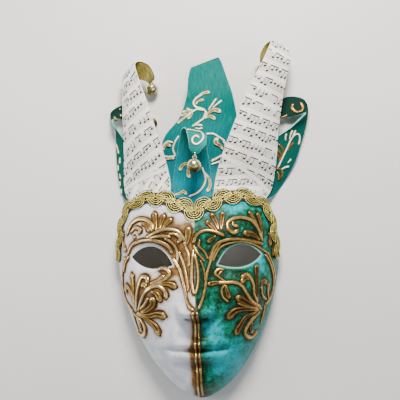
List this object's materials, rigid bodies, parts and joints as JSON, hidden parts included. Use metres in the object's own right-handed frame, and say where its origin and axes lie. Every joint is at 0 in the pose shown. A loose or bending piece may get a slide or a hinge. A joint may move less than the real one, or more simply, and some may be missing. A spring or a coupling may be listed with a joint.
{
  "type": "venetian mask",
  "caption": "Full-face carnival mask of papier-mache with piped scroll relief, a braid across the forehead and a crown of curled card points that end in jingle bells.",
  "frame": {"origin": "middle of the footprint, on the surface that the mask lies on, in the plane of the shell's flat-cut rim", "axes": "+Z out of the face, +Y from the chin towards the points of the crown, +X towards a viewer's right"},
  "size_m": [0.197, 0.3488, 0.0855],
  "materials": {
    "painted_shell": "papier-mache painted white on one half and mottled turquoise on the other, with gilded piped relief, satin varnish",
    "gimp": "olive gold gimp braid with a low sheen",
    "music_paper": "card covered with printed music paper, white edges, matt",
    "teal_card": "card painted teal with raised cream and gold ornament, satin",
    "bell_brass": "polished pale gold jingle bells and jump rings"
  },
  "bodies": {
    "root": {"mask_shell": "painted_shell", "gimp_braid": "gimp", "music_point_left": "music_paper", "music_point_right": "music_paper", "teal_point_centre_front": "teal_card", "teal_point_centre_back": "teal_card", "teal_point_side_left": "teal_card", "teal_point_side_right": "teal_card", "music_ring_left": "bell_brass", "music_ring_right": "bell_brass", "teal_ring_centre_front": "bell_brass", "teal_ring_centre_back": "bell_brass", "teal_ring_side_left": "bell_brass", "teal_ring_side_right": "bell_brass", "music_bell_left": "bell_brass", "music_bell_right": "bell_brass", "teal_bell_centre_front": "bell_brass", "teal_bell_centre_back": "bell_brass", "teal_bell_side_left": "bell_brass", "teal_bell_side_right": "bell_brass"}
  },
  "joints": []
}
